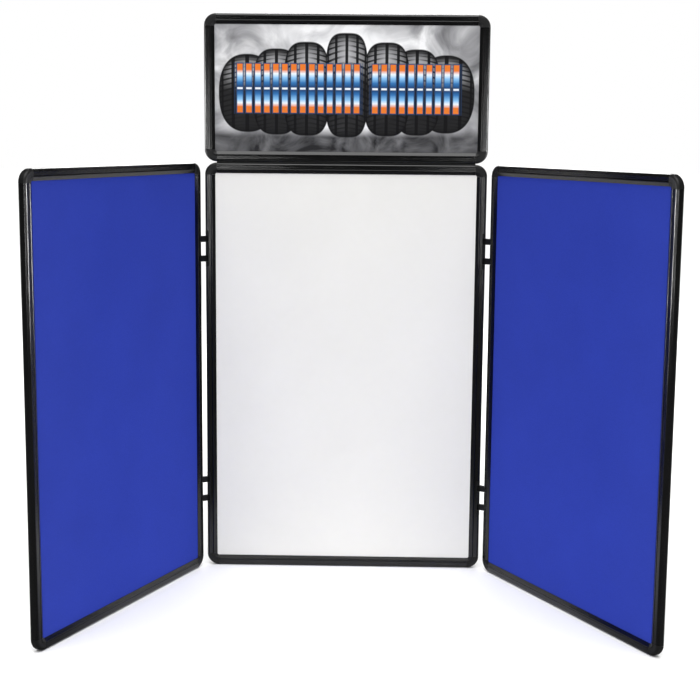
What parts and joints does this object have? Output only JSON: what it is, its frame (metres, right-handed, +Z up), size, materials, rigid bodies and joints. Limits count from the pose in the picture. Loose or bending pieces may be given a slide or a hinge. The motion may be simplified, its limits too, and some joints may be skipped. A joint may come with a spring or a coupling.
{
  "type": "tabletop folding display wall",
  "caption": "Free-standing folding display wall: a centre panel with two hinged fabric wings and a lift-off header panel, in rounded black frames.",
  "frame": {"origin": "middle of the centre panel's foot, on the panel's mid-plane", "axes": "+Z up, display faces towards -Y, +X to the right as seen from the front"},
  "size_m": [1.2463, 0.6086, 1.2779],
  "materials": {
    "frame_rail": "semi-gloss",
    "corner_plastic": "fine matte texture",
    "hinge_plastic": "matte",
    "joining_strip": "satin",
    "pin_steel": "ground",
    "core": "paper honeycomb board",
    "dry_erase": "satin dry-erase film",
    "loop_fabric": "short loop pile",
    "back_lining": "flat lining",
    "header_print": "printed graphic sheet"
  },
  "bodies": {
    "centre": {"centre_left_rail": "frame_rail", "centre_right_rail": "frame_rail", "centre_bottom_rail": "frame_rail", "centre_top_rail": "frame_rail", "centre_corner_bottom_left": "corner_plastic", "centre_corner_top_left": "corner_plastic", "centre_corner_top_right": "corner_plastic", "centre_corner_bottom_right": "corner_plastic", "centre_core_board": "core", "centre_front_skin": "dry_erase", "centre_back_skin": "back_lining", "centre_left_hinge_blocks": "hinge_plastic", "centre_left_hinge_pins": "pin_steel", "centre_right_hinge_blocks": "hinge_plastic", "centre_right_hinge_pins": "pin_steel"},
    "left_links": {"left_upper_links": "hinge_plastic", "left_lower_links": "hinge_plastic"},
    "left_wing": {"left_wing_left_rail": "frame_rail", "left_wing_right_rail": "frame_rail", "left_wing_bottom_rail": "frame_rail", "left_wing_top_rail": "frame_rail", "left_wing_corner_bottom_left": "corner_plastic", "left_wing_corner_top_left": "corner_plastic", "left_wing_corner_top_right": "corner_plastic", "left_wing_corner_bottom_right": "corner_plastic", "left_wing_core_board": "core", "left_wing_front_skin": "loop_fabric", "left_wing_back_skin": "back_lining", "left_wing_hinge_blocks": "hinge_plastic", "left_wing_hinge_pins": "pin_steel"},
    "right_links": {"right_upper_links": "hinge_plastic", "right_lower_links": "hinge_plastic"},
    "right_wing": {"right_wing_left_rail": "frame_rail", "right_wing_right_rail": "frame_rail", "right_wing_bottom_rail": "frame_rail", "right_wing_top_rail": "frame_rail", "right_wing_corner_bottom_left": "corner_plastic", "right_wing_corner_top_left": "corner_plastic", "right_wing_corner_top_right": "corner_plastic", "right_wing_corner_bottom_right": "corner_plastic", "right_wing_core_board": "core", "right_wing_front_skin": "loop_fabric", "right_wing_back_skin": "back_lining", "right_wing_hinge_blocks": "hinge_plastic", "right_wing_hinge_pins": "pin_steel"},
    "header": {"header_left_rail": "frame_rail", "header_right_rail": "frame_rail", "header_bottom_rail": "frame_rail", "header_top_rail": "frame_rail", "header_corner_bottom_left": "corner_plastic", "header_corner_top_left": "corner_plastic", "header_corner_top_right": "corner_plastic", "header_corner_bottom_right": "corner_plastic", "header_core_board": "core", "header_front_skin": "header_print", "header_back_skin": "back_lining", "header_joining_strip": "joining_strip"}
  },
  "joints": [
    {"name": "left_link_pivot", "type": "hinge", "parent": "centre", "child": "left_links", "pos_m": [-0.3178, 0, 0], "axis": [0, 0, 1], "range_deg": [-31.4, 58.6]},
    {"name": "left_wing_pivot", "type": "hinge", "parent": "left_links", "child": "left_wing", "pos_m": [-0.33743, -0.01198, 0], "axis": [0, 0, 1], "range_deg": [-35, 55]},
    {"name": "right_link_pivot", "type": "hinge", "parent": "centre", "child": "right_links", "pos_m": [0.3178, 0, 0], "axis": [0, 0, 1], "range_deg": [0, 121.4]},
    {"name": "right_wing_pivot", "type": "hinge", "parent": "right_links", "child": "right_wing", "pos_m": [0.33743, -0.01198, 0], "axis": [0, 0, 1], "range_deg": [0, 120.3]},
    {"name": "header_lift", "type": "slide", "parent": "centre", "child": "header", "axis": [0, 0, 1], "range_m": [0, 0.03]}
  ]
}
